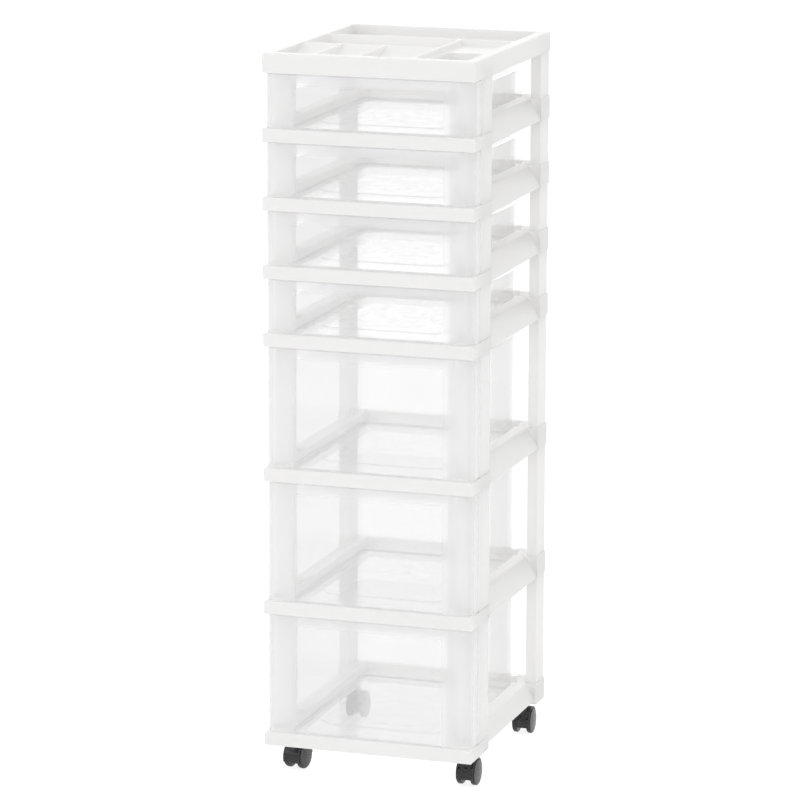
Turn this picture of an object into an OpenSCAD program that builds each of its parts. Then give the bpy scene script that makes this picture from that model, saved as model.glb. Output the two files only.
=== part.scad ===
// Plastic drawer tower on casters.
// Moulded frame rings with corner posts stack on each other. Each ring carries one clear
// drawer, the topmost posts carry an organizer tray, and the lowest ring stands on casters.
// Millimetres. X is the width, the front faces -Y, and Z is up from the floor.

/* [Tower] */
// Outer width of every frame ring
tower_w = 306; // [270:1:360]
// Outer depth of every frame ring
tower_d = 362; // [330:1:420]
// Height from one deep frame to the next one up
deep_pitch = 191.5; // [140:0.5:230]
// Height from one shallow frame to the next one up
shallow_pitch = 95.6; // [84:0.1:130]

/* [Frame rings] */
// Wall thickness of the frame mouldings
frame_wall = 2.4; // [1.8:0.1:3]
// Height of the front rail
front_rail_h = 18.7; // [15:0.1:24]
// Depth of the front rail from front to back
front_rail_d = 26; // [18:1:32]
// Radius along the top edge of the front rail
rail_edge_r = 3; // [1:0.5:5]
// Height of the side rails and the rear rail
rail_h = 32; // [27:0.5:40]
// How far a side rail leans in between its foot and its sill
rail_lean = 13.8; // [6:0.1:18]
// Width of the sill on top of a side rail
sill_w = 20.2; // [16:0.1:26]
// Width of the runner ledge that a drawer slides on
ledge_w = 14; // [8:0.5:20]
// Depth of the flange on top of the rear rail
rear_flange_d = 12; // [6:1:18]
// Height by which the lowest side rails are cut up between their feet
foot_cut_h = 6; // [3:0.5:9]

/* [Posts] */
// How far the posts stand in from the outline of the rings
post_inset = 1.5; // [0.5:0.1:2.4]
// Distance from the front of a ring to the front posts
front_post_y = 37; // [30:1:44]
// Depth of a front post
front_post_d = 47; // [38:1:56]
// Radius of the outer front edge of a front post
front_post_r = 7; // [4:0.5:10]
// Width of the returns that stiffen the free edges of a front post
post_return = 7; // [4:0.5:9]
// Width of a rear post
rear_post_w = 15; // [12:0.5:20]
// Depth of a rear post
rear_post_d = 40.5; // [30:0.5:50]
// Height of the spigot on a post that plugs into the ring above
spigot_h = 6; // [4:0.5:8]
// Clearance round a spigot
spigot_gap = 0.4; // [0.2:0.1:0.8]
// Radius of the blend between a leaning side rail and the posts
rail_scoop_r = 13; // [6:1:18]
// Radius of the gusset behind the top of a front post
gusset_r = 9; // [5:1:14]

/* [Drawers] */
// Wall thickness of the drawers
drawer_wall = 2; // [1.5:0.1:2.6]
// Distance from the front of a ring to the face of a drawer
drawer_setback = 3.5; // [2:0.1:6]
// Gap above and below a drawer front
front_gap = 0.8; // [0.5:0.1:1.5]
// Radius of the upright corners of a drawer front
front_corner_r = 14; // [8:1:20]
// Gap between the wing of a drawer front and the front post
wing_gap = 2; // [1:0.5:4]
// Gap between a drawer box and the side rails
side_gap = 2; // [1.4:0.1:3]
// Gap between the rim of a drawer box and the side rails
rim_gap = 0.8; // [0.5:0.1:1.2]
// Gap between a drawer floor and its runner ledge
runner_gap = 0.3; // [0.2:0.05:0.5]
// Clear space behind a closed drawer box, up to the rear of the ring
drawer_rear_gap = 39; // [24:1:60]
// How far the rim of a drawer box lies below the ring above
rim_drop = 24; // [16:1:30]
// Height of the rim flange of a drawer box
rim_h = 3; // [2:0.5:5]
// Depth of the folded lip along the top of a drawer front
lip_d = 7; // [5:0.5:10]
// Height of the folded lip along the top of a drawer front
lip_h = 12; // [8:0.5:16]
// Radius of the rear corners of a drawer box
box_corner_r = 10; // [4:1:16]
// Distance from the drawer walls to the raised floor panel
panel_margin = 24; // [14:1:40]
// Distance from the drawer face to the raised floor panel
panel_front = 56; // [30:1:80]
// Chamfer on the corners of the raised floor panel
panel_chamfer = 15; // [6:1:24]
// Height of the raised floor panel
panel_rise = 0.8; // [0.4:0.1:1.2]
// Reach of the stop lugs from a drawer wall
lug_reach = 10; // [6:0.5:13]
// Length of a stop lug
lug_d = 6; // [4:0.5:10]
// Height of a stop lug
lug_h = 10; // [6:0.5:14]

/* [Organizer top] */
// Height of the organizer top
top_h = 27.7; // [24:0.1:36]
// Radius along the outer edges of the organizer top
top_edge_r = 2.5; // [1:0.5:5]
// Width of the rim round the compartments
rim_w = 15; // [12:0.5:20]
// Thickness of the dividers between compartments
divider_w = 3; // [2:0.5:5]
// Distance from the front to the divider behind the front compartments
front_row_d = 130; // [100:1:150]
// Distance from the front to the divider before the rear trough
middle_row_d = 230; // [200:1:250]
// Width of the compartment on the right
cup_w = 76; // [60:1:90]
// Share of the front row that the first compartment takes
first_share = 0.28; // [0.22:0.01:0.36]
// Share of the front row that the second compartment takes
second_share = 0.31; // [0.24:0.01:0.38]
// Depth of the troughs
trough_depth = 15; // [10:0.5:18]
// Depth of the scooped front compartments at their middle
scoop_depth = 14; // [8:0.5:17]
// Depth of the shelf of the right compartment
shelf_depth = 8; // [4:0.5:12]
// Length of the recess in the right compartment
recess_d = 122; // [80:1:150]
// Width left beside the recess in the right compartment
recess_side = 9; // [4:1:16]
// Radius of the upright corners of the compartments
pocket_r = 8; // [3:1:12]
// Floor thickness of the compartments
pocket_floor = 2; // [1.5:0.1:2.4]

/* [Casters] */
// Diameter of a wheel
wheel_d = 37; // [30:1:44]
// Width of a wheel
wheel_w = 7; // [6:0.2:9]
// Distance between the middles of the two wheels of a caster
wheel_spread = 21; // [20:0.5:30]
// Radius of the rounded edge of a wheel
wheel_edge_r = 2; // [1:0.5:2.5]
// Distance from the stem back to the axle
trail = 13; // [11:0.5:18]
// Height from the top of a wheel to the lowest ring
wheel_headroom = 12.5; // [6:0.5:15]
// Diameter of the stem
stem_d = 8; // [6:0.5:10]
// Length of the stem inside its socket
stem_in_socket = 24; // [16:1:28]
// Thickness of the stem collar
collar_t = 1.5; // [1:0.1:2]
// Diameter of the axle
axle_d = 5; // [4:0.5:7]
// Distance from the side of the tower to a caster stem
caster_side = 24; // [24:0.5:28]
// Distance from the front of the tower to a front caster stem
front_caster_y = 54; // [54:1:64]
// Distance from the rear of the tower to a rear caster stem
rear_caster_y = 34; // [28:1:40]
// Swivel of the front left caster in degrees
front_left_turn = -9; // [-180:1:180]
// Swivel of the front right caster in degrees
front_right_turn = -2; // [-180:1:180]
// Swivel of the rear casters in degrees
rear_turn = 1; // [-180:1:180]

/* [Hidden] */
$fn = 64;
cut = 1;                    // overshoot of every cutting solid
arc_steps = 6;              // facets on a rounded edge of an outline
lap = 0.2;                  // overlap that joins two solids
deep_count = 3;             // deep frames below the shallow ones
shallow_count = 4;          // shallow frames on top of the deep ones
fit_gap = 0.05;             // radial clearance of a running fit
seat_gap = 0.3;             // clearance between a moving face and its seat

// Places across the width, from the middle
half_w = tower_w / 2;
post_lap = 0.5;             // step from the inner wall of a rail out to the posts
foot_step = 1;              // how far the foot of a side rail stands out past the posts
rail_foot_x = half_w - post_inset + foot_step;
sill_x = rail_foot_x - rail_lean;
slope = rail_lean / rail_h;     // lean of a side rail per unit of height
inner_x = sill_x - sill_w;
ledge_x = inner_x - ledge_w;
post_x = half_w - post_inset;
post_inner_x = inner_x + post_lap;
box_x = inner_x - side_gap;
rim_x = inner_x - rim_gap;
rear_post_x = post_x - rear_post_w;

// Places along the depth, from the middle
front_y = -tower_d / 2;
rear_y = tower_d / 2;
front_post_y0 = front_y + front_post_y;
front_post_y1 = front_post_y0 + front_post_d;
rear_post_y1 = rear_y - post_inset;
rear_post_y0 = rear_post_y1 - rear_post_d;
face_y = front_y + drawer_setback;
wing_y = front_post_y0 - wing_gap;
box_y1 = rear_y - drawer_rear_gap;

// Heights above the foot of a ring
ledge_step = 0.3;           // rise of the ledge above the front rail
lug_gap = 2;                // gap between a side rail and the stop lug above it
ledge_z = front_rail_h + ledge_step;
floor_z = ledge_z + runner_gap;
front_z0 = front_rail_h + front_gap;
lug_z = rail_h + lug_gap;

// Heights above the floor
ring_z = wheel_d + wheel_headroom;
axle_z = wheel_d / 2 - ring_z;
shallow_z = ring_z + deep_count * deep_pitch;
organizer_z = shallow_z + shallow_count * shallow_pitch;

// Caster measures
hub_gap = 0.4;              // side clearance of a wheel beside the web of its hood
web_w = wheel_spread - wheel_w - 2 * hub_gap;
hood_inset = 1.6;           // how far the face of a wheel stands out past the hood
hood_w = wheel_spread + wheel_w - 2 * hood_inset;
tread_gap = 0.6;            // clearance between the tread and the hood
hood_wall = 2.6;            // thickness of the fender of the hood
hood_tail = 11.5;           // height of the lower edge of the hood above the floor
web_share = 0.4;            // share of the hood radius that the web reaches behind the axle
wheel_dome = 1;             // rise of the outer face of a wheel
axle_inset = 2.2;           // distance from the rim of a wheel to the axle end
hood_top_z = -collar_t - seat_gap;
hood_r = wheel_d / 2 + tread_gap + hood_wall;
socket_r = 9;               // outer radius of a stem socket
collar_r = 6.5;             // radius of the stem collar
stem_in_hood = 15;          // length of the stem inside the hood
socket_h = stem_in_socket + frame_wall;
axle_half = (wheel_spread + wheel_w) / 2 - axle_inset;

frame_white = [0.95, 0.95, 0.94];
clear_plastic = [0.86, 0.88, 0.91, 0.45];
caster_black = [0.12, 0.12, 0.13];
steel_grey = [0.7, 0.7, 0.72];

// ---------------------------------------------------------------- outlines

function unit(v) = v / norm(v);

// Points of an arc of radius r that rounds the corner b between a and c
function bend(a, b, c, r) =
    let (
        u = unit(a - b),
        v = unit(c - b),
        half = acos(u * v) / 2,
        o = b + unit(u + v) * r / sin(half),
        s = b + u * r / tan(half) - o,
        e = b + v * r / tan(half) - o,
        from = atan2(s[1], s[0]),
        sweep = (atan2(e[1], e[0]) - from + 540) % 360 - 180
    )
    [for (i = [0:arc_steps]) o + r * [cos(from + sweep * i / arc_steps),
                                      sin(from + sweep * i / arc_steps)]];

function reversed(points) = [for (i = [len(points) - 1:-1:0]) points[i]];

module both_sides() {
    children();
    mirror([1, 0, 0]) children();
}

// Rectangle between two corners
module block(x0, x1, y0, y1) {
    translate([x0, y0]) square([x1 - x0, y1 - y0]);
}

// Rectangle between two corners, with true round corners
module soft_block(x0, x1, y0, y1, r) {
    block(x0 + r, x1 - r, y0, y1);
    block(x0, x1, y0 + r, y1 - r);
    for (x = [x0 + r, x1 - r], y = [y0 + r, y1 - r])
        translate([x, y]) circle(r);
}

// Box between two corners
module bar(x0, x1, y0, y1, z0, z1) {
    translate([x0, y0, z0]) cube([x1 - x0, y1 - y0, z1 - z0]);
}

// Extrusion along X of an outline in Y and Z
module along_x(x0, x1) {
    translate([x0, 0, 0]) rotate([90, 0, 90]) linear_extrude(x1 - x0) children();
}

// Extrusion along Y of an outline in X and Z
module along_y(y0, y1) {
    translate([0, y1, 0]) rotate([90, 0, 0]) linear_extrude(y1 - y0) children();
}

// Web that fills the corner at [0, 0] towards +x and +y up to a concave arc
module fillet_web(r) {
    difference() {
        square(r);
        translate([r, r]) circle(r);
    }
}

// ---------------------------------------------------------------- frames

// Inverted channel across the front, with a rounded top edge
module front_rail() {
    along_x(-half_w, half_w) difference() {
        polygon(concat(
            [[front_y, 0]],
            bend([front_y, 0], [front_y, front_rail_h],
                 [front_y + front_rail_d, front_rail_h], rail_edge_r),
            [[front_y + front_rail_d, front_rail_h], [front_y + front_rail_d, 0]]));
        block(front_y + frame_wall, front_y + front_rail_d - frame_wall,
              -cut, front_rail_h - frame_wall);
    }
    both_sides() bar(half_w - frame_wall, half_w, front_y + frame_wall,
                     front_y + front_rail_d, 0, front_rail_h - rail_edge_r);
}

// Space outside the leaning wall of a side rail, rounded where it meets the posts
module rail_scoop(grow) {
    shift = grow * norm([rail_lean, rail_h]) / rail_h;
    intersection() {
        translate([0, 0, -cut]) linear_extrude(rail_h + 2 * cut)
            soft_block(sill_x - grow, half_w + rail_scoop_r * 2, front_post_y1 - grow,
                       rear_post_y0 + grow, rail_scoop_r + grow);
        along_y(front_y, rear_y) translate([-shift, 0]) polygon([
            [rail_foot_x + slope * cut, -cut], [sill_x - slope * cut, rail_h + cut],
            [tower_w, rail_h + cut], [tower_w, -cut]]);
    }
}

// Side rail: leaning outer wall, sill, inner wall and runner ledge
module side_rail(foot) {
    difference() {
        bar(inner_x, post_x, front_post_y1 - frame_wall, rear_post_y0 + frame_wall,
            foot, rail_h);
        rail_scoop(0);
        difference() {
            bar(inner_x + frame_wall, post_x - frame_wall, front_post_y1,
                rear_post_y0, -cut, rail_h - frame_wall);
            rail_scoop(frame_wall);
        }
    }
    along_y(front_y + front_rail_d - frame_wall, rear_y - frame_wall) polygon([
        [inner_x, rail_h], [inner_x, ledge_z], [ledge_x, ledge_z],
        [ledge_x, ledge_z - frame_wall], [inner_x, ledge_z - frame_wall],
        [inner_x + frame_wall, ledge_z - 2 * frame_wall],
        [inner_x + frame_wall, rail_h]]);
}

// Shell under a front post, open below
module front_corner() {
    bar(half_w - frame_wall, half_w, front_y + front_rail_d - frame_wall, front_post_y1,
        0, front_rail_h);
    bar(inner_x, half_w, front_post_y1 - frame_wall, front_post_y1, 0, front_rail_h);
    bar(inner_x, half_w, front_y + front_rail_d - frame_wall, front_post_y1,
        front_rail_h - frame_wall, front_rail_h);
    bar(inner_x, inner_x + frame_wall, front_post_y0, front_post_y1, 0, rail_h);
}

// Shell under a rear post, open below
module rear_corner() {
    bar(half_w - frame_wall, half_w, rear_post_y0, rear_y, 0, rail_h);
    bar(inner_x, half_w, rear_y - frame_wall, rear_y, 0, rail_h);
    bar(inner_x, half_w, rear_post_y0, rear_post_y0 + frame_wall, 0, rail_h);
    bar(inner_x, half_w, rear_post_y0, rear_y, rail_h - frame_wall, rail_h);
}

// Wall and flange across the rear
module rear_rail() {
    along_x(-inner_x - frame_wall, inner_x + frame_wall) polygon([
        [rear_y, 0], [rear_y, rail_h], [rear_y - rear_flange_d, rail_h],
        [rear_y - rear_flange_d, rail_h - 2 * frame_wall],
        [rear_y - rear_flange_d + frame_wall, rail_h - 2 * frame_wall],
        [rear_y - rear_flange_d + frame_wall, rail_h - frame_wall],
        [rear_y - frame_wall, rail_h - frame_wall], [rear_y - frame_wall, 0]]);
}

// Angle section with a rounded outer edge and stiffening returns
module front_post_plan() {
    far = [post_inner_x, front_post_y0];
    corner = [post_x, front_post_y0];
    back = [post_x, front_post_y1];
    inset = [-frame_wall, frame_wall];
    polygon(concat(
        [back],
        bend(back, corner, far, front_post_r),
        [far, far + [0, post_return], far + [frame_wall, post_return],
         far + [frame_wall, frame_wall]],
        reversed(bend(back + inset, corner + inset, far + inset,
                      front_post_r - frame_wall)),
        [back + [-frame_wall, -frame_wall], back + [-post_return, -frame_wall],
         back + [-post_return, 0]]));
}

// Channel section, open towards the drawers
module rear_post_plan() {
    difference() {
        block(rear_post_x, post_x, rear_post_y0, rear_post_y1);
        block(rear_post_x - cut, post_x - frame_wall,
              rear_post_y0 + frame_wall, rear_post_y1 - frame_wall);
    }
}

// Cap that carries the ring above, with the spigot that locates it
module post_cap(y0, y1, pitch) {
    step = frame_wall + spigot_gap;
    bar(post_inner_x, post_x, y0, y1, pitch - frame_wall, pitch);
    bar(inner_x + step, half_w - step, y0 + step, y1 - step, pitch - frame_wall,
        pitch + spigot_h);
}

// Both posts of one side, with their caps
module posts(pitch) {
    translate([0, 0, front_rail_h - frame_wall])
        linear_extrude(pitch - front_rail_h + frame_wall) front_post_plan();
    translate([0, 0, rail_h - frame_wall])
        linear_extrude(pitch - rail_h + frame_wall) rear_post_plan();
    post_cap(front_post_y0, front_post_y1, pitch);
    post_cap(rear_post_y0, rear_post_y1, pitch);
}

// Gusset behind the top of a front post
module post_gusset(pitch) {
    along_x(post_x - frame_wall, post_x)
        translate([front_post_y1 - frame_wall, pitch])
            mirror([0, 1]) fillet_web(gusset_r);
}

// One ring with its four posts
module frame_ring(pitch, foot) {
    front_rail();
    rear_rail();
    both_sides() {
        side_rail(foot);
        front_corner();
        rear_corner();
        posts(pitch);
        post_gusset(pitch);
    }
}

// Socket that a caster stem plugs into
module stem_socket(y) {
    translate([half_w - caster_side, y, 0]) cylinder(r = socket_r, h = socket_h);
}

// Bore of a stem socket
module stem_bore(y) {
    translate([half_w - caster_side, y, -cut])
        cylinder(d = stem_d + 2 * fit_gap, h = stem_in_socket + cut + seat_gap);
}

module deep_frame(level) {
    color(frame_white) translate([0, 0, ring_z + (level - 1) * deep_pitch])
        if (level == 1) difference() {
            union() {
                frame_ring(deep_pitch, foot_cut_h);
                both_sides() {
                    stem_socket(front_y + front_caster_y);
                    stem_socket(rear_y - rear_caster_y);
                }
            }
            both_sides() {
                stem_bore(front_y + front_caster_y);
                stem_bore(rear_y - rear_caster_y);
            }
        }
        else frame_ring(deep_pitch, 0);
}

module shallow_frame(level) {
    color(frame_white) translate([0, 0, shallow_z + (level - 1) * shallow_pitch])
        frame_ring(shallow_pitch, 0);
}

// ---------------------------------------------------------------- drawers

// Drawer face with rounded corners and wings that return to the posts
module face_plan() {
    wing = [post_x, wing_y];
    corner = [post_x, face_y];
    middle = [0, face_y];
    inset = [-drawer_wall, drawer_wall];
    half = concat(
        [wing],
        bend(wing, corner, middle, front_corner_r),
        [middle, middle + [0, drawer_wall]],
        reversed(bend(wing + inset, corner + inset, middle + inset,
                      front_corner_r - drawer_wall)),
        [wing + [-drawer_wall, 0]]);
    polygon(half);
    mirror([1, 0]) polygon(half);
}

// Outline of a drawer box, square in front and rounded at the rear
module box_plan(x, y1, r) {
    block(-x, x, face_y, y1 - r);
    block(r - x, x - r, face_y, y1);
    for (side = [-1, 1])
        translate([side * (x - r), y1 - r]) circle(r);
}

// Raised panel that stiffens the floor
module floor_panel() {
    x = box_x - panel_margin;
    y0 = face_y + panel_front;
    y1 = box_y1 - panel_margin;
    c = panel_chamfer;
    polygon([[c - x, y0], [x - c, y0], [x, y0 + c], [x, y1 - c], [x - c, y1],
             [c - x, y1], [-x, y1 - c], [-x, y0 + c]]);
}

// Drawer: face, folded lip, box with a rim, raised floor panel and stop lugs
module drawer(pitch) {
    face_top = pitch - front_gap;
    rim_z = pitch - rim_drop;
    lip_y = face_y + lip_d;
    translate([0, 0, front_z0]) linear_extrude(face_top - front_z0) face_plan();
    // Folded lip along the top of the face
    bar(-box_x, box_x, face_y + drawer_wall / 2, lip_y, face_top - drawer_wall, face_top);
    bar(-box_x, box_x, lip_y - drawer_wall, lip_y, face_top - lip_h, face_top);
    // Box with its rim
    difference() {
        union() {
            translate([0, 0, floor_z])
                linear_extrude(rim_z - floor_z) box_plan(box_x, box_y1, box_corner_r);
            translate([0, 0, rim_z - rim_h]) linear_extrude(rim_h)
                box_plan(rim_x, box_y1 + rim_x - box_x, box_corner_r);
        }
        translate([0, 0, floor_z + drawer_wall]) linear_extrude(pitch)
            difference() {
                box_plan(box_x - drawer_wall, box_y1 - drawer_wall,
                         box_corner_r - drawer_wall);
                block(-half_w, half_w, face_y - cut, face_y + drawer_wall);
            }
        translate([0, 0, floor_z - cut])
            linear_extrude(cut + panel_rise) floor_panel();
        // Room inside the rim at the wings
        both_sides() bar(box_x, half_w, face_y + drawer_wall, wing_y + cut,
                         rim_z - rim_h - cut, rim_z + cut);
    }
    translate([0, 0, floor_z + drawer_wall - lap])
        linear_extrude(panel_rise + lap) floor_panel();
    // Box side walls rise to the lip behind the face
    both_sides() {
        bar(box_x - drawer_wall, box_x, face_y + drawer_wall / 2, wing_y,
            rim_z - cut, face_top);
        // Stop lug that meets the front post at full travel
        bar(box_x - drawer_wall / 2, box_x + lug_reach, box_y1 - box_corner_r - lug_d,
            box_y1 - box_corner_r, lug_z, lug_z + lug_h);
    }
}

module deep_drawer(level) {
    color(clear_plastic) translate([0, 0, ring_z + (level - 1) * deep_pitch])
        drawer(deep_pitch);
}

module shallow_drawer(level) {
    color(clear_plastic) translate([0, 0, shallow_z + (level - 1) * shallow_pitch])
        drawer(shallow_pitch);
}

// ---------------------------------------------------------------- organizer top

// Places of the compartments, from the left front corner of the rim
pocket_x0 = -half_w + rim_w;
pocket_x1 = half_w - rim_w;
cup_x0 = pocket_x1 - cup_w;
row_x1 = cup_x0 - divider_w;
row_w = row_x1 - pocket_x0;
first_x1 = pocket_x0 + first_share * row_w;
second_x1 = first_x1 + divider_w + second_share * row_w;
front_y1 = front_y + front_row_d;
middle_y1 = front_y + middle_row_d;
pocket_y0 = front_y + rim_w;
pocket_y1 = rear_y - rim_w;
recess_gap = 0.7;           // room between the recess and a spigot under it
recess_depth = top_h - pocket_floor - spigot_h - recess_gap;

// [x0, x1, y0, y1, depth] of each compartment
scoops = [
    [pocket_x0, first_x1, pocket_y0, front_y1, scoop_depth],
    [first_x1 + divider_w, second_x1, pocket_y0, front_y1, scoop_depth],
    [second_x1 + divider_w, row_x1, pocket_y0, front_y1, scoop_depth]];
flats = [
    [pocket_x0, row_x1, front_y1 + divider_w, middle_y1, trough_depth],
    [pocket_x0, pocket_x1, middle_y1 + divider_w, pocket_y1, trough_depth],
    [cup_x0, pocket_x1, pocket_y0, middle_y1, shelf_depth]];
recess = [cup_x0 + recess_side, pocket_x1 - recess_side, pocket_y0 + recess_side,
          pocket_y0 + recess_side + recess_d, recess_depth];

// Flat-bottomed compartment
module pocket(p) {
    translate([0, 0, top_h - p[4]])
        linear_extrude(p[4] + cut) soft_block(p[0], p[1], p[2], p[3], pocket_r);
}

// Compartment whose floor is curved from front to back
module scoop(p) {
    half = (p[3] - p[2]) / 2;
    r = (half * half + p[4] * p[4]) / (2 * p[4]);
    intersection() {
        pocket(p);
        translate([p[0] - cut, p[2] + half, top_h - p[4] + r]) rotate([0, 90, 0])
            cylinder(r = r, h = p[1] - p[0] + 2 * cut, $fn = 128);
    }
}

// Solid that leaves a wall and a floor round a compartment
module tub(p) {
    w = frame_wall;
    translate([0, 0, top_h - p[4] - pocket_floor])
        linear_extrude(p[4] + pocket_floor - w / 2)
            soft_block(p[0] - w, p[1] + w, p[2] - w, p[3] + w, pocket_r + w);
}

// Tray: shell, tubs and the compartments cut into them
module organizer_top() {
    shell_x = half_w - frame_wall;
    color(frame_white) translate([0, 0, organizer_z]) difference() {
        union() {
            difference() {
                along_x(-half_w, half_w) polygon(concat(
                    [[rear_y, 0]],
                    bend([rear_y, 0], [rear_y, top_h], [front_y, top_h], top_edge_r),
                    bend([rear_y, top_h], [front_y, top_h], [front_y, 0], top_edge_r),
                    [[front_y, 0]]));
                bar(-shell_x, shell_x, front_y + frame_wall, rear_y - frame_wall, -cut,
                    top_h - frame_wall);
            }
            for (p = concat(scoops, flats, [recess])) tub(p);
        }
        for (p = concat(flats, [recess])) pocket(p);
        for (p = scoops) scoop(p);
    }
}

// ---------------------------------------------------------------- casters

// Places a caster part on its stem axis and swivels it
module at_caster(side, y, turn) {
    translate([side * (half_w - caster_side), y, ring_z]) rotate([0, 0, turn]) children();
}

module front_left() { at_caster(-1, front_y + front_caster_y, front_left_turn) children(); }
module front_right() { at_caster(1, front_y + front_caster_y, front_right_turn) children(); }
module rear_left() { at_caster(-1, rear_y - rear_caster_y, rear_turn) children(); }
module rear_right() { at_caster(1, rear_y - rear_caster_y, rear_turn) children(); }

// Hood: fender over both wheels, the web between them and the stem boss
module hood() {
    boss_r = web_w / 2;
    tail_z = hood_tail - wheel_d / 2;
    shoulder_z = hood_top_z - axle_z;
    color(caster_black) difference() {
        union() {
            translate([0, trail, axle_z]) {
                along_x(-hood_w / 2, hood_w / 2) difference() {
                    circle(hood_r);
                    circle(wheel_d / 2 + tread_gap);
                    block(-hood_r - cut, hood_r + cut, -hood_r - cut, tail_z);
                    block(0, hood_r + cut, -hood_r - cut, 0);
                }
                along_x(-web_w / 2, web_w / 2) {
                    difference() {
                        circle(hood_r);
                        block(-hood_r - cut, hood_r + cut, -hood_r - cut, tail_z);
                        block(hood_r * web_share, hood_r + cut, -hood_r - cut, 0);
                    }
                    polygon([[-trail, 0], [0, 0], [0, hood_r], [boss_r - trail, shoulder_z],
                             [-trail, shoulder_z]]);
                }
            }
            translate([0, 0, hood_top_z - stem_in_hood - frame_wall])
                cylinder(r = boss_r, h = stem_in_hood + frame_wall);
        }
        translate([0, 0, hood_top_z - stem_in_hood - seat_gap])
            cylinder(d = stem_d + 2 * fit_gap, h = stem_in_hood + seat_gap + cut);
        translate([-web_w / 2 - cut, trail, axle_z]) rotate([0, 90, 0])
            cylinder(d = axle_d + 2 * fit_gap, h = web_w + 2 * cut);
    }
}

// Stem: plugs into the socket, seats on its collar and carries the hood
module stem() {
    color(steel_grey) {
        translate([0, 0, hood_top_z - stem_in_hood])
            cylinder(d = stem_d, h = stem_in_socket + stem_in_hood - hood_top_z);
        translate([0, 0, -collar_t]) cylinder(r = collar_r, h = collar_t);
    }
}

// Axle that carries both wheels of a caster
module axle() {
    color(steel_grey) translate([-axle_half, trail, axle_z]) rotate([0, 90, 0])
        cylinder(d = axle_d, h = 2 * axle_half);
}

// Wheel with a rounded tread, a domed outer face and a blind bore
module wheel(side) {
    e = wheel_edge_r;
    outer = wheel_w / 2;
    face_r = wheel_d / 2 - e;
    dome_r = (face_r * face_r + wheel_dome * wheel_dome) / (2 * wheel_dome);
    bore_end = axle_half + seat_gap - wheel_spread / 2;
    color(caster_black)
        translate([side * wheel_spread / 2, trail, axle_z]) rotate([0, side * 90, 0])
            difference() {
                rotate_extrude($fn = 96) {
                    block(0, face_r, -outer, outer);
                    block(0, wheel_d / 2, e - outer, outer - e);
                    translate([face_r, outer - e]) circle(e, $fn = 32);
                    translate([face_r, e - outer]) circle(e, $fn = 32);
                    intersection() {
                        translate([0, outer + wheel_dome - dome_r]) circle(dome_r, $fn = 256);
                        block(0, face_r, 0, outer + wheel_dome);
                    }
                }
                translate([0, 0, -outer - cut])
                    cylinder(d = axle_d + 2 * fit_gap, h = bore_end + outer + cut);
            }
}

// ---------------------------------------------------------------- assembly

organizer_top();
deep_frame(1);  // deep_frame_1
deep_frame(2);  // deep_frame_2
deep_frame(3);  // deep_frame_3
shallow_frame(1);  // shallow_frame_1
shallow_frame(2);  // shallow_frame_2
shallow_frame(3);  // shallow_frame_3
shallow_frame(4);  // shallow_frame_4
deep_drawer(1);  // deep_drawer_1
deep_drawer(2);  // deep_drawer_2
deep_drawer(3);  // deep_drawer_3
shallow_drawer(1);  // shallow_drawer_1
shallow_drawer(2);  // shallow_drawer_2
shallow_drawer(3);  // shallow_drawer_3
shallow_drawer(4);  // shallow_drawer_4
front_left() hood();  // front_left_hood
front_left() stem();  // front_left_stem
front_left() axle();  // front_left_axle
front_left() wheel(1);  // front_left_inner_wheel
front_left() wheel(-1);  // front_left_outer_wheel
front_right() hood();  // front_right_hood
front_right() stem();  // front_right_stem
front_right() axle();  // front_right_axle
front_right() wheel(-1);  // front_right_inner_wheel
front_right() wheel(1);  // front_right_outer_wheel
rear_left() hood();  // rear_left_hood
rear_left() stem();  // rear_left_stem
rear_left() axle();  // rear_left_axle
rear_left() wheel(1);  // rear_left_inner_wheel
rear_left() wheel(-1);  // rear_left_outer_wheel
rear_right() hood();  // rear_right_hood
rear_right() stem();  // rear_right_stem
rear_right() axle();  // rear_right_axle
rear_right() wheel(-1);  // rear_right_inner_wheel
rear_right() wheel(1);  // rear_right_outer_wheel
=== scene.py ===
"""Plastic drawer tower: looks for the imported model, laid out as an add-on."""

import math

import bmesh
import bpy
from mathutils import Matrix, Vector
from mathutils.bvhtree import BVHTree


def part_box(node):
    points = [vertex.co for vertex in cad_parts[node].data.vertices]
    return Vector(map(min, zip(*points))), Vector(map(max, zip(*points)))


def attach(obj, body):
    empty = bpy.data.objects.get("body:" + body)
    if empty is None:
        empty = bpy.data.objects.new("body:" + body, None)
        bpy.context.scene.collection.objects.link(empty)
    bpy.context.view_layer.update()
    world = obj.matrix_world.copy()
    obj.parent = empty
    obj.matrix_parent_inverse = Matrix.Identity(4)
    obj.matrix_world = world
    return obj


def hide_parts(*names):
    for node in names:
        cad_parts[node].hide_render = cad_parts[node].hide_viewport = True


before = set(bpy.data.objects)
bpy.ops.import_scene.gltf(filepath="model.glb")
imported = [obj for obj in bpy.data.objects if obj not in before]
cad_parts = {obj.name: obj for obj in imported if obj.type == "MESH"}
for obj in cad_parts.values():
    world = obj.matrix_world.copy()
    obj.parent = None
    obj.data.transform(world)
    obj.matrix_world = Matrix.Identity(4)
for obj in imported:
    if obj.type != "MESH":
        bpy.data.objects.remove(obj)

bl_info = {
    "name": "Plastic Drawer Tower",
    "version": (1, 0, 0),
    "blender": (4, 5, 0),
    "location": "View3D > Sidebar > Drawer Tower",
    "description": "Finishes for a tower of clear drawers in white frames",
    "category": "Add Mesh",
}

CORNERS = ("front_left", "front_right", "rear_left", "rear_right")
TIERS = {"deep": 3, "shallow": 4}   # the two kinds of tier and how many there are of each

MM = 0.001              # a millimetre in the metres of the scene

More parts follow.
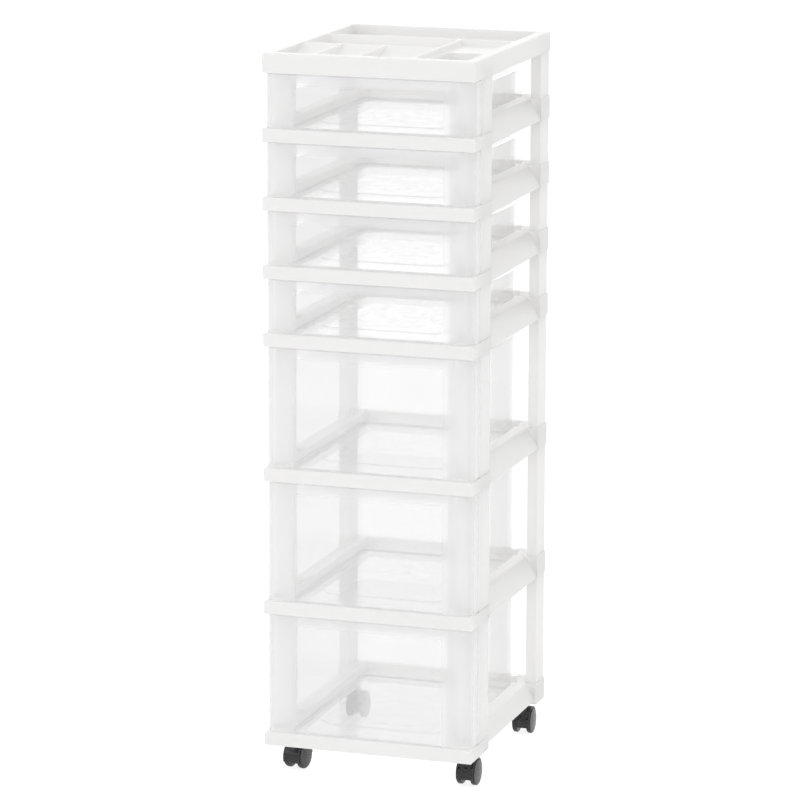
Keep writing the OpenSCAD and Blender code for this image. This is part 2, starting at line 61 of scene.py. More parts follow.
# Tolerances, in millimetres where no other unit is named
SAME = 0.01             # lengths that differ by less are the same
BEYOND = 1.0            # how far a cutter or a limit lies past a face
ALONG = 0.9             # share of a normal that makes it point along an axis
MERGE = 0.00001         # corners closer than this are merged, in metres
FLAT = math.radians(0.5)    # faces that meet at a smaller angle are made one
SMOOTH = math.radians(30)   # edges with a smaller angle are shaded smooth
SHARP = math.radians(40)    # edges with a larger angle are rounded

# Segments of a rounded edge, by what it runs along
EDGE_STEPS = 2          # a small edge
FOOT_STEPS = 4          # a floor, or the fold of a lip
RIM_STEPS = 6           # the top of the tray
CORNER_STEPS = 8        # an upright corner of a box
FACE_STEPS = 12         # an upright corner of a drawer face
DRUM_STEPS = 180        # the whole round of a drum

# Measures of a drawer in millimetres
BOX_STEP = 35.0         # from the end of the face in to the box
WING = 31.5             # depth of the wings of the face
RIM_DROP = 23.2         # from the top of the face down to the rim of the box
RIM_REACH = 1.2         # how far the rim stands out
RIM_HEIGHT = 3.0
RIM_EDGE = 0.8          # radius of the edge of the rim, as a share of a small edge
BOX_CORNER = 10.0       # radius of the rear corners of the box
FLOOR_CORNER = 2.5      # radius along the floor of the box
FACE_RISE = 0.2         # from the floor of the box up to the foot of the face
LIP_DEPTH = 7.0
LIP_HEIGHT = 12.0
LIP_FOLD = 1.2          # radius of the fold of the lip, as a share of the wall
PANEL_MARGIN = 24.0
PANEL_FRONT = 56.0
PANEL_CHAMFER = 15.0
PANEL_RISE = 0.8
LUG_REACH = 10.0
LUG_DEPTH = 6.0
LUG_RISE = 14.7
LUG_HEIGHT = 10.0
LUG_EDGE = 1.0
WINDOW_SIDE = 43.5      # from the end of the face in to its clear window
WINDOW_TOP = 16.0
WINDOW_FOOT = 2.5
WINDOW_DEPTH = 0.5

# Which faces of a drawer have a finish of their own, in millimetres. The small edges get a painted
# shade
SLIM_EDGE = 2.4         # widest face that counts as a small edge
SLIM_STRIP = SLIM_EDGE / 3      # the same for a face that is turned off the axes
SQUARE = 0.999          # share of a normal along an axis in a face that isn't turned
SLANTED = 0.1           # share of a normal along Z in a turned face that is no corner strip
FLOOR_TOP = 3.5         # height under which level faces belong to the floor
FACE_FRONT = 0.1        # depth in which faces belong to the bands round the window
# RIM is the slot of the small edges, whose darker colour is painted shade
WALL, RIM, BAND, FLOOR = range(4)       # the material slots of a drawer

# Edges of a frame that are rounded, in millimetres
LONG_EDGE = 12.0        # shortest edge that is rounded
CLEAR_EDGE = 1.2        # shortest sharp edge that may meet it

# Measures of the organizer tray in millimetres
TRAY_WALL = 2.4
TRAY_CORNER = 2.5       # radius of the top edges at the front and the rear
TRAY_RIM = 15.0
DIVIDER = 3.0
POCKET_CORNER = 8.0
POCKET_FOOT = 2.0       # radius along the floor of a compartment
POCKET_FLOOR = 2.0
ROWS = (130.0, 230.0)   # from the front to the far side of the first and second row
CUP_WIDTH = 76.0
SCOOPS = (0.28, 0.31)   # share of the width of the row that the first two scoops take
SCOOP_DEPTH, TROUGH_DEPTH, SHELF_DEPTH, RECESS_DEPTH = 14.0, 15.0, 8.0, 19.0
RECESS_SIDE, RECESS_LENGTH = 9.0, 122.0

WHITE = (1, 1, 1, 1)

# Patterns of the finishes. Their scales are counted per metre
NOISE_LOW, NOISE_HIGH = 0.3, 0.7        # the part of a noise that a range is spread over
CLOUD_SCALE = 70.0      # soft patches in the haze of a drawer floor
CLOUD_DETAIL = 4.0

# The floor as it lights the tower, and its shade and glow as it is seen
FLOOR_COLOUR = (0.95, 0.95, 0.95, 1)
FLOOR_SHADE = (0.3, 0.3, 0.3, 1)
FLOOR_GLOW = 0.85

# The places and widths of the lamps in metres, and the point that they face
LAMPS = {"key": ((-2.6, -3.4, 2.6), 3.0),
         "top": ((0.2, 0.3, 3.6), 3.0),
         "back": ((-1.3, 3.6, 1.7), 3.2)}
LAMP_AIM = (0, 0, 0.5)

CAMERA_PLACE = (1.8546, -5.6565, 1.7827)        # metres
CAMERA_TURN = (78.0476, -0.1343, 18.2911)       # degrees
CAMERA_LENS = 192.628   # focal length in millimetres
CAMERA_SENSOR = 36.0    # width of the sensor in millimetres


def tiers(kind, part):
    """The names of a part in the tiers of a kind, from the bottom up."""
    return [f"{kind}_{part}_{number + 1}" for number in range(TIERS[kind])]


# ---------------------------------------------------------------- modelling

def deselect():
    if bpy.context.object and bpy.context.object.mode != "OBJECT":
        bpy.ops.object.mode_set(mode="OBJECT")
    bpy.ops.object.select_all(action="DESELECT")


def near(a, b):
    return abs(a - b) < SAME


def upright(a, b):
    """True if the edge between two points runs along Z."""
    return near(a.x, b.x) and near(a.y, b.y)


def level(a, b, height):
    """True if the edge between two points lies at a height."""
    return near(a.z, height) and near(b.z, height)


class Piece:
    """A mesh object that is shaped in edit mode. Lengths are in millimetres."""

    def __init__(self, name, low, high):
        deselect()
        low, high = Vector(low) * MM, Vector(high) * MM
        bpy.ops.mesh.primitive_cube_add(size=1, location=(low + high) / 2, scale=high - low)
        self.object = bpy.context.object
        self.object.name = name
        bpy.ops.object.transform_apply(location=True, rotation=True, scale=True)

    @classmethod
    def of_node(cls, name, edge, shortest, clear):
        """A merged copy of a CAD node with its long sharp edges rounded."""
        piece = cls.__new__(cls)
        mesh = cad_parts[name].data.copy()
        mesh.materials.clear()
        piece.object = bpy.data.objects.new(f"{name}_moulding", mesh)
        bpy.context.scene.collection.objects.link(piece.object)
        piece.edit()
        bpy.ops.mesh.select_all(action="SELECT")
        bpy.ops.mesh.remove_doubles(threshold=MERGE)
        deselect()
        mesh = piece.object.data
        surface = BVHTree.FromPolygons([corner.co for corner in mesh.vertices],
                                       [face.vertices for face in mesh.polygons])
        piece.weigh(shortest, clear)
        piece.modify("BEVEL", width=edge * MM, segments=EDGE_STEPS, limit_method="WEIGHT",
                     use_clamp_overlap=False, loop_slide=False)
        # Where an edge ends, the bevel can throw a corner off the surface
        for corner in piece.object.data.vertices:
            nearest, _, _, gap = surface.find_nearest(corner.co)
            if gap > edge * MM / 2:
                corner.co = nearest
        bpy.ops.object.shade_smooth_by_angle(angle=SMOOTH)
        return piece.modify("WEIGHTED_NORMAL", keep_sharp=True)

    @classmethod
    def drum(cls, name, middle, radius, width):
        """A cylinder that lies along X."""
        deselect()
        bpy.ops.mesh.primitive_cylinder_add(
            vertices=DRUM_STEPS, radius=radius * MM, depth=width * MM,
            location=Vector(middle) * MM, rotation=(0, math.pi / 2, 0))
        piece = cls.__new__(cls)
        piece.object = bpy.context.object
        piece.object.name = name
        bpy.ops.object.transform_apply(location=True, rotation=True, scale=True)
        return piece

    def activate(self):
        deselect()
        bpy.context.view_layer.objects.active = self.object
        self.object.select_set(True)

    def edit(self):
        if bpy.context.object is not self.object or self.object.mode != "EDIT":
            self.activate()
            bpy.ops.object.mode_set(mode="EDIT")
        return bmesh.from_edit_mesh(self.object.data)

    def pick_faces(self, test):
        """Selects the faces whose middle and normal pass the test."""
        mesh = self.edit()
        bpy.ops.mesh.select_mode(type="FACE")
        bpy.ops.mesh.select_all(action="DESELECT")
        for face in mesh.faces:
            face.select = test(face.calc_center_bounds() / MM, face.normal)
        mesh.select_flush_mode()
        bmesh.update_edit_mesh(self.object.data)

    def pick_edges(self, test):
        """Selects the edges whose two ends pass the test."""
        mesh = self.edit()
        bpy.ops.mesh.select_mode(type="EDGE")
        bpy.ops.mesh.select_all(action="DESELECT")
        for edge in mesh.edges:
            edge.select = test(*(corner.co / MM for corner in edge.verts))
        mesh.select_flush_mode()
        bmesh.update_edit_mesh(self.object.data)

    def weigh(self, shortest, clear):
        """Marks the outer edges that are long and have no short sharp edge beside them."""
        mesh = self.edit()
        weight = mesh.edges.layers.float.new("bevel_weight_edge")
        sharp = {edge for edge in mesh.edges if edge.calc_face_angle(0) > SHARP}
        for edge in filter(lambda edge: edge.is_convex, sharp):
            beside = [other.calc_length() for corner in edge.verts
                      for other in corner.link_edges if other in sharp]
            if edge.calc_length() >= shortest * MM and min(beside) >= clear * MM:
                edge[weight] = 1
        bmesh.update_edit_mesh(self.object.data)
        deselect()

    def open_faces(self, test):
        self.pick_faces(test)
        bpy.ops.mesh.delete(type="FACE")

    def round_edges(self, test, radius, segments):
        self.pick_edges(test)
        bpy.ops.mesh.bevel(offset=radius * MM, segments=segments, affect="EDGES")
        return self

    def modify(self, kind, **values):
        self.activate()
        modifier = self.object.modifiers.new(kind.lower(), kind)
        for name, value in values.items():
            setattr(modifier, name, value)
        bpy.ops.object.modifier_apply(modifier=modifier.name)
        return self

    def thicken(self, wall):
        return self.modify("SOLIDIFY", thickness=wall * MM, offset=-1, use_even_offset=True)

    def combine(self, other, operation):
        deselect()
        self.modify("BOOLEAN", object=other.object, operation=operation, solver="EXACT")
        bpy.data.objects.remove(other.object)
        return self

    def smooth(self):
        """Merges doubles, turns the faces out and smooths them, with flat faces kept flat."""
        self.edit()
        bpy.ops.mesh.select_all(action="SELECT")
        bpy.ops.mesh.remove_doubles(threshold=MERGE)
        bpy.ops.mesh.dissolve_limited(angle_limit=FLAT, delimit={"NORMAL"})
        bpy.ops.mesh.select_all(action="SELECT")
        bpy.ops.mesh.normals_make_consistent(inside=False)
        deselect()
        self.activate()
        bpy.ops.object.shade_smooth_by_angle(angle=SMOOTH)
        self.modify("WEIGHTED_NORMAL", keep_sharp=True)
        mesh = self.object.data
        normals = [corner.vector.copy() for corner in mesh.corner_normals]
        for face in mesh.polygons:
            for index in face.loop_indices:
                if normals[index].angle(face.normal) > SMOOTH:
                    normals[index] = face.normal.copy()
        mesh.normals_split_custom_set(normals)
        return self

    def copy(self, name, rise):
        """A copy with its own mesh, moved up by a height."""
        mesh = self.object.data.copy()
        mesh.transform(Matrix.Translation((0, 0, rise * MM)))
        twin = bpy.data.objects.new(name, mesh)
        bpy.context.scene.collection.objects.link(twin)
        return twin


# ---------------------------------------------------------------- shapes

class Drawer:
    """The moulding of a drawer between its lowest and highest corner, in millimetres."""

    def __init__(self, settings, low, high):
        self.wall, self.edge = settings.wall / MM, settings.edge / MM
        self.face_corner = settings.face_corner / MM
        self.foot, self.top = low.z, high.z
        self.rim_z = high.z - RIM_DROP
        self.face_x, self.box_x = high.x, high.x - BOX_STEP
        self.face_y, self.wing_y = low.y, low.y + WING
        self.box_y, self.rim_y = high.y - RIM_REACH, high.y

    def build(self):
        body = self.box()
        body.combine(self.rim(), "UNION")
        body.combine(self.room(), "DIFFERENCE")
        body.combine(self.panel(self.foot + self.wall / 2,
                                self.foot + self.wall + PANEL_RISE), "UNION")
        body.combine(self.panel(self.foot - self.wall, self.foot + PANEL_RISE), "DIFFERENCE")
        body.combine(self.face(), "UNION")
        body.combine(self.window(), "DIFFERENCE")
        body.combine(self.lip(), "UNION")
        for side in (-1, 1):
            body.combine(self.cheek(side), "UNION")
            body.combine(self.lug(side), "UNION")
        body.smooth()
        mesh = body.object.data
        for face in mesh.polygons:
            face.material_index = self.slot(mesh, face)
        return body

    def box(self):
        box = Piece("box", (-self.box_x, self.face_y + self.wall / 2, self.foot),
                    (self.box_x, self.box_y, self.rim_z))
        box.round_edges(lambda a, b: upright(a, b) and near(a.y, self.box_y),
                        BOX_CORNER, CORNER_STEPS)
        return box.round_edges(lambda a, b: level(a, b, self.foot)
                               and max(a.y, b.y) > self.face_y + self.wall,
                               FLOOR_CORNER, FOOT_STEPS)

    def rim(self):
        rim = Piece("rim",
                    (-self.box_x - RIM_REACH, self.wing_y + BEYOND, self.rim_z - RIM_HEIGHT),
                    (self.box_x + RIM_REACH, self.rim_y, self.rim_z))
        rim.round_edges(lambda a, b: upright(a, b) and near(a.y, self.rim_y),
                        BOX_CORNER + RIM_REACH, CORNER_STEPS)
        return rim.round_edges(lambda a, b: level(a, b, self.rim_z),
                               self.edge * RIM_EDGE, EDGE_STEPS)

    def room(self):
        """The hollow of the box."""
        wall, rear = self.wall, self.box_y - self.wall
        room = Piece("room", (wall - self.box_x, self.face_y + wall, self.foot + wall),
                     (self.box_x - wall, rear, self.top))
        room.round_edges(lambda a, b: upright(a, b) and near(a.y, rear),
                         BOX_CORNER - wall, CORNER_STEPS)
        return room.round_edges(lambda a, b: level(a, b, self.foot + wall)
                                and max(a.y, b.y) > self.face_y + 2 * wall,
                                FLOOR_CORNER - wall / 2, FOOT_STEPS)

    def panel(self, base, rise):
        """The raised middle of the floor."""
        side = self.box_x - PANEL_MARGIN
        panel = Piece("panel", (-side, self.face_y + PANEL_FRONT, base),
                      (side, self.box_y - PANEL_MARGIN, rise))
        panel.round_edges(upright, PANEL_CHAMFER, 1)
        return panel.round_edges(lambda a, b: level(a, b, rise), PANEL_RISE / 2, EDGE_STEPS)

    def face(self):
        """The front and its two wings, open at the top, the foot and the rear."""
        foot = self.foot + FACE_RISE
        face = Piece("face", (-self.face_x, self.face_y, foot),
                     (self.face_x, self.wing_y, self.top))
        face.open_faces(lambda middle, normal: abs(normal.z) > ALONG or normal.y > ALONG)
        face.round_edges(lambda a, b: upright(a, b) and near(a.y, self.face_y),
                         self.face_corner, FACE_STEPS)
        face.thicken(self.wall)
        return face.round_edges(lambda a, b: level(a, b, self.top) or level(a, b, foot),
                                self.edge, EDGE_STEPS)

    def window(self):
        side = self.face_x - WINDOW_SIDE
        return Piece("window", (-side, self.face_y - BEYOND, self.foot + WINDOW_FOOT),
                     (side, self.face_y + WINDOW_DEPTH, self.top - WINDOW_TOP))

    def lip(self):
        """The fold behind the top of the front."""
        rear = self.face_y + LIP_DEPTH
        lip = Piece("lip", (-self.box_x, self.face_y + self.wall / 2, self.top - LIP_HEIGHT),
                    (self.box_x, rear, self.top))
        lip.open_faces(lambda middle, normal: normal.z < -ALONG or normal.y < -ALONG
                       or abs(normal.x) > ALONG)
        lip.round_edges(lambda a, b: level(a, b, self.top) and near(a.y, rear) and near(b.y, rear),
                        self.wall * LIP_FOLD, FOOT_STEPS)
        return lip.thicken(self.wall)

    def cheek(self, side):
        """The wall that joins a wing to the side of the box."""
        inner, outer = sorted((side * (self.box_x - self.wall), side * self.box_x))
        cheek = Piece("cheek", (inner, self.face_y + self.wall / 2, self.rim_z - self.wall / 2),
                      (outer, self.wing_y, self.top))
        return cheek.round_edges(lambda a, b: upright(a, b) and near(a.y, self.wing_y),
                                 self.edge, EDGE_STEPS)

    def lug(self, side):
        """The stop at the rear of a side."""
        inner, outer = sorted((side * (self.box_x - self.wall / 2),
                               side * (self.box_x + LUG_REACH)))
        rear, foot = self.box_y - BOX_CORNER, self.foot + LUG_RISE
        lug = Piece("lug", (inner, rear - LUG_DEPTH, foot), (outer, rear, foot + LUG_HEIGHT))
        return lug.round_edges(lambda a, b: near(a.x, b.x) and abs(a.x) > self.box_x,
                               LUG_EDGE, EDGE_STEPS)

    def slot(self, mesh, face):
        """The material slot of a face. The small edges carry a painted shade, but those of the
        lugs stay plain wall.
        """
        middle = face.center / MM
        beside = abs(middle.x) > self.box_x + RIM_REACH + BEYOND
        ahead = middle.y < self.wing_y + BEYOND
        if self.slim(mesh, face):
            return RIM if ahead or not beside else WALL
        if abs(face.normal.z) > ALONG and middle.z < self.foot + FLOOR_TOP:
            return FLOOR
        front = middle.y < self.face_y + FACE_FRONT
        lip = middle.z > self.top - LIP_HEIGHT
        return BAND if front or lip or (beside and ahead) else WALL

    def slim(self, mesh, face):
        """True for a face of a small edge, but not for a strip of a rounded corner."""
        points = [mesh.vertices[index].co for index in face.vertices]
        longest = max((a - b).length for a, b in zip(points, points[1:] + points[:1]))
        width = face.area / longest / MM
        square = max(abs(part) for part in face.normal) > SQUARE
        return width < (SLIM_EDGE if square or abs(face.normal.z) > SLANTED else SLIM_STRIP)


class Tray:
    """The organizer tray between its lowest and highest corner, in millimetres."""

    def __init__(self, low, high):
        self.low, self.high, self.top = low, high, high.z

    def build(self, edge):
        low, high, top, wall = self.low, self.high, self.top, TRAY_WALL
        tray = Piece("organizer_tray", low, high)
        tray.round_edges(lambda a, b: level(a, b, top) and near(a.y, b.y), TRAY_CORNER, RIM_STEPS)
        tray.combine(Piece("hollow", (low.x + wall, low.y + wall, low.z - BEYOND),
                           (high.x - wall, high.y - wall, top - wall)), "DIFFERENCE")
        scoops, pockets = self.compartments()
        for place in scoops + pockets:
            tray.combine(self.tub(*place), "UNION")
        for place in scoops:
            tray.combine(self.scoop(*place), "DIFFERENCE")
        for place in pockets:
            tray.combine(self.pocket(*place), "DIFFERENCE")
        tray.smooth()
        tray.modify("BEVEL", width=edge * MM, segments=EDGE_STEPS, limit_method="ANGLE",
                    angle_limit=SHARP, use_clamp_overlap=False, loop_slide=False)
        # The bevel lifts a few corners a little above the rim
        for corner in tray.object.data.vertices:
            corner.co.z = min(corner.co.z, top * MM)
        return tray.smooth()

    def compartments(self):
        """The scoops and the flat pockets, each as its two sides, its front, rear and depth."""
        left, right = self.low.x + TRAY_RIM, self.high.x - TRAY_RIM
        front, rear = self.low.y + TRAY_RIM, self.high.y - TRAY_RIM
        cup = right - CUP_WIDTH
        row = cup - DIVIDER
        first = left + SCOOPS[0] * (row - left)
        second = first + DIVIDER + SCOOPS[1] * (row - left)
        near_row, middle_row = self.low.y + ROWS[0], self.low.y + ROWS[1]
        scoops = [(left, first, front, near_row, SCOOP_DEPTH),
                  (first + DIVIDER, second, front, near_row, SCOOP_DEPTH),
                  (second + DIVIDER, row, front, near_row, SCOOP_DEPTH)]
        pockets = [(left, row, near_row + DIVIDER, middle_row, TROUGH_DEPTH),
                   (left, right, middle_row + DIVIDER, rear, TROUGH_DEPTH),
                   (cup, right, front, middle_row, SHELF_DEPTH),
                   (cup + RECESS_SIDE, right - RECESS_SIDE, front + RECESS_SIDE,
                    front + RECESS_SIDE + RECESS_LENGTH, RECESS_DEPTH)]
        return scoops, pockets

    def tub(self, x0, x1, y0, y1, depth):
        """The outside of a compartment, under the rim."""
        wall = TRAY_WALL
        tub = Piece("tub", (x0 - wall, y0 - wall, self.top - depth - POCKET_FLOOR),
                    (x1 + wall, y1 + wall, self.top - wall / 2))
        return tub.round_edges(upright, POCKET_CORNER + wall, CORNER_STEPS)

    def room(self, x0, x1, y0, y1, depth):
        """The inside of a compartment, with rounded upright corners."""
        room = Piece("room", (x0, y0, self.top - depth), (x1, y1, self.top + BEYOND))
        return room.round_edges(upright, POCKET_CORNER, CORNER_STEPS)

    def scoop(self, x0, x1, y0, y1, depth):
        """A room whose floor is part of a drum that lies along X."""
        half = (y1 - y0) / 2
        radius = (half * half + depth * depth) / (2 * depth)
        middle = ((x0 + x1) / 2, y0 + half, self.top - depth + radius)
        scoop = self.room(x0, x1, y0, y1, depth)
        return scoop.combine(Piece.drum("drum", middle, radius, x1 - x0 + 2 * BEYOND), "INTERSECT")

    def pocket(self, x0, x1, y0, y1, depth):
        """A room with a flat floor."""
        pocket = self.room(x0, x1, y0, y1, depth)
        return pocket.round_edges(lambda a, b: level(a, b, self.top - depth),
                                  POCKET_FOOT, FOOT_STEPS)


# ---------------------------------------------------------------- materials

class Tree:
    """The nodes of a material or of the world, added step by step."""

    def __init__(self, owner):
        owner.use_nodes = True
        self.nodes = owner.node_tree.nodes
        self.links = owner.node_tree.links

    def feed(self, node, socket, value):
        """Sets a socket of a node to a value, or links another node's socket to it."""
        socket = node.inputs[socket]
        if isinstance(value, bpy.types.NodeSocket):
            self.links.new(value, socket)
        else:
            socket.default_value = value

    def add(self, kind, **inputs):
        node = self.nodes.new(kind)
        for name, value in inputs.items():
            self.feed(node, name.replace("_", " "), value)
        return node

    def calculate(self, operation, first, second):
        node = self.add("ShaderNodeMath")
        node.operation = operation
        self.feed(node, 0, first)
        self.feed(node, 1, second)
        return node.outputs["Value"]

    def blend(self, share, first, second):
        """Mixes two shaders. The share is that of the second."""
        node = self.add("ShaderNodeMixShader", Fac=share)
        self.feed(node, 1, first.outputs[0])
        self.feed(node, 2, second.outputs[0])
        return node

    def surface(self, shader):
        """Gives the material the shader as its surface."""
        self.feed(self.nodes["Material Output"], "Surface", shader.outputs[0])

    def background_rays(self):
        """A socket that is 1 for the rays that show the background, and 0 for its light."""
        path = self.add("ShaderNodeLightPath").outputs
        rays = self.calculate("MAXIMUM", path["Is Camera Ray"], path["Is Glossy Ray"])
        return self.calculate("MAXIMUM", rays, path["Is Transmission Ray"])


class Finish(Tree):
    """A material round a Principled shader, with patterns on Object coordinates."""

    def __init__(self, name):
        self.material = bpy.data.materials.new(name)
        super().__init__(self.material)
        self.shader = self.nodes["Principled BSDF"]
        self.place = self.add("ShaderNodeTexCoord").outputs["Object"]

    def noise(self, scale, detail=3.0):
        node = self.add("ShaderNodeTexNoise", Vector=self.place, Scale=scale, Detail=detail)
        return node.outputs["Fac"]

    def spread(self, value, low, high):
        """Maps the middle of a noise to a range."""
        node = self.add("ShaderNodeMapRange", Value=value, From_Min=NOISE_LOW,
                        From_Max=NOISE_HIGH, To_Min=low, To_Max=high)
        return node.outputs["Result"]

    def mottle(self, colour, scale, amount):
        """The colour, in patches that are darker by an amount at most."""
        shade = self.spread(self.noise(scale), 1 - amount, 1.0)
        mix = self.add("ShaderNodeVectorMath")
        mix.operation = "SCALE"
        self.feed(mix, 0, colour[:3])
        self.feed(mix, "Scale", shade)
        self.set(Base_Color=mix.outputs["Vector"])

    def grain(self, scale, strength, distance):
        """A fine relief, whose normal is returned for other shaders."""
        bump = self.add("ShaderNodeBump", Height=self.noise(scale), Strength=strength,
                        Distance=distance)
        self.set(Normal=bump.outputs["Normal"])
        return bump.outputs["Normal"]

    def polish(self, scale, low, high):
        """Varies the roughness between two values."""
        self.set(Roughness=self.spread(self.noise(scale), low, high))

    def set(self, **inputs):
        for name, value in inputs.items():
            self.feed(self.shader, name.replace("_", " "), value)


def white_plastic(settings):
    """Moulded white plastic with a soft sheen, whose thin walls let some light through."""
    finish = Finish("white_moulded_plastic")
    finish.mottle(settings.colour, scale=9.0, amount=0.012)
    finish.polish(scale=60.0, low=settings.roughness - 0.05, high=settings.roughness + 0.05)
    finish.grain(scale=900.0, strength=0.12, distance=0.0002)
    glow = finish.add("ShaderNodeBsdfTranslucent", Color=settings.colour)
    finish.surface(finish.blend(settings.glow, finish.shader, glow))
    return finish.material


def clear_plastic(settings, name, colour, tint, haze, edge_haze, cloud=0.0):
    """Clear plastic with a light haze that thickens where a wall is seen edge on.

    Rays of light and shadow pass it freely. A cloud varies the haze in soft patches.
    """
    finish = Finish(name)
    finish.mottle(colour, scale=5.0, amount=0.02)
    normal = finish.grain(scale=35.0, strength=0.05, distance=0.001)
    facing = finish.add("ShaderNodeLayerWeight", Blend=0.5).outputs["Facing"]
    edge_on = finish.calculate("POWER", facing, settings.edge_sharpness)
    veil = finish.add("ShaderNodeMapRange", Value=edge_on, To_Min=haze,
                      To_Max=edge_haze).outputs["Result"]
    if cloud:
        patches = finish.noise(CLOUD_SCALE, CLOUD_DETAIL)
        veil = finish.calculate("MULTIPLY", veil, finish.spread(patches, 1 - cloud, 1 + cloud))
    path = finish.add("ShaderNodeLightPath").outputs
    light = finish.calculate("MAXIMUM", path["Is Shadow Ray"], path["Is Diffuse Ray"])
    light = finish.calculate("MAXIMUM", light, path["Is Transmission Ray"])
    sight = finish.calculate("SUBTRACT", 1.0, light)
    alpha = finish.calculate("MULTIPLY", veil, sight)
    finish.set(Roughness=settings.roughness, Alpha=alpha)
    glow = finish.add("ShaderNodeBsdfTranslucent", Color=colour)
    through = finish.add("ShaderNodeMixRGB", Fac=light, Color1=tint, Color2=WHITE)
    clear = finish.add("ShaderNodeBsdfTransparent", Color=through.outputs["Color"])
    body = finish.blend(settings.glow, finish.shader, finish.blend(alpha, clear, glow))
    back = finish.add("ShaderNodeNewGeometry").outputs["Backfacing"]
    front = finish.calculate("SUBTRACT", 1.0, back)
    fresnel = finish.add("ShaderNodeFresnel", IOR=settings.mirror, Normal=normal).outputs["Fac"]
    shine = finish.calculate("MULTIPLY", finish.calculate("MULTIPLY", fresnel, front), sight)
    gloss = finish.add("ShaderNodeBsdfGlossy", Roughness=settings.roughness, Normal=normal)
    finish.surface(finish.blend(shine, body, gloss))
    return finish.material


def black_plastic(settings):
    """Black moulded plastic of the caster hoods and wheels."""
    finish = Finish("black_moulded_plastic")
    finish.mottle(settings.colour, scale=60.0, amount=0.2)
    finish.polish(scale=180.0, low=0.22, high=0.32)
    finish.grain(scale=1500.0, strength=0.15, distance=0.0002)
    return finish.material


def bright_steel(settings):
    """Plated steel of the caster stems and axles."""
    finish = Finish("plated_steel")
    finish.mottle(settings.steel_colour, scale=80.0, amount=0.1)
    finish.set(Metallic=1.0)
    finish.polish(scale=300.0, low=0.2, high=0.35)
    finish.grain(scale=2000.0, strength=0.1, distance=0.0001)
    return finish.material


def refine(name, edge, material, body, shortest=0.0, clear=0.0):
    """Puts a copy with rounded edges in the place of a CAD node."""
    piece = Piece.of_node(name, edge, shortest, clear).object
    piece.data.materials.append(material)
    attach(piece, body)
    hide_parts(name)


def dress(names, material):
    """Gives CAD nodes a material."""
    for name in names:
        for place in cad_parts[name].material_slots:
            place.material = material


# ---------------------------------------------------------------- settings

class FrameSettings(bpy.types.PropertyGroup):
    colour: bpy.props.FloatVectorProperty(
        name="Colour", description="Colour of the white mouldings", subtype="COLOR",
        size=4, min=0, max=1, default=(0.94, 0.938, 0.934, 1))
    roughness: bpy.props.FloatProperty(
        name="Roughness", description="Roughness of the white mouldings", min=0.05, max=1,
        default=0.4, subtype="FACTOR")
    glow: bpy.props.FloatProperty(
        name="Glow", description="Share of the light that the white mouldings let through",
        min=0, max=1, default=0.42, subtype="FACTOR")
    edge: bpy.props.FloatProperty(
        name="Edge", description="Radius of the small edges", min=0.0001, max=0.0006,
        default=0.0004, subtype="DISTANCE", unit="LENGTH")


